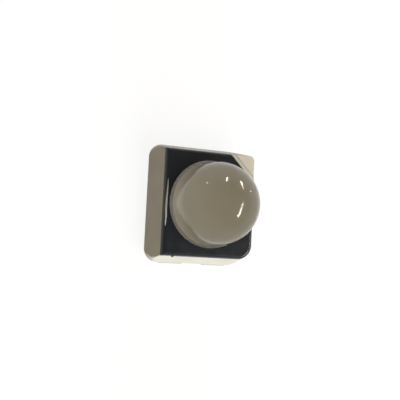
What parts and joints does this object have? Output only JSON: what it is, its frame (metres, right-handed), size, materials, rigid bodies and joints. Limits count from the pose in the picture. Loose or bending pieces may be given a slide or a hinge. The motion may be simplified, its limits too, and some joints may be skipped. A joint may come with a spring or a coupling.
{
  "type": "surface-mount led",
  "caption": "Surface-mount LED with a white body, a black face with one bare corner, a milky dome lens and J-bent solder leads.",
  "frame": {"origin": "centre of the footprint, on the plane that the lead feet stand on", "axes": "+Z along the light axis, out of the dome; Y through the lead sides; the bare corner of the face is at +X +Y"},
  "size_m": [0.0036, 0.004, 0.0037],
  "materials": {
    "white_body": "fine matt moulded surface, warm white",
    "black_layer": "satin black with a glossy rounded edge",
    "milky_resin": "glossy, filled with fine diffuser powder",
    "lead_metal": "matt silver plating over copper alloy",
    "red_die": "sawn semiconductor",
    "green_die": "polished sapphire",
    "blue_die": "polished sapphire",
    "silver_glue": "cured silver-filled glue",
    "clear_glue": "cured clear glue",
    "gold_wire": "drawn gold"
  },
  "bodies": {
    "root": {"housing": "white_body", "black_face": "black_layer", "dome_lens": "milky_resin", "common_anode_lead": "lead_metal", "red_cathode_lead": "lead_metal", "green_cathode_lead": "lead_metal", "blue_cathode_lead": "lead_metal", "red_chip": "red_die", "green_chip": "green_die", "blue_chip": "blue_die", "red_die_attach": "silver_glue", "green_die_attach": "clear_glue", "blue_die_attach": "clear_glue", "red_cathode_wire": "gold_wire", "green_anode_wire": "gold_wire", "green_cathode_wire": "gold_wire", "blue_anode_wire": "gold_wire", "blue_cathode_wire": "gold_wire"}
  },
  "joints": []
}
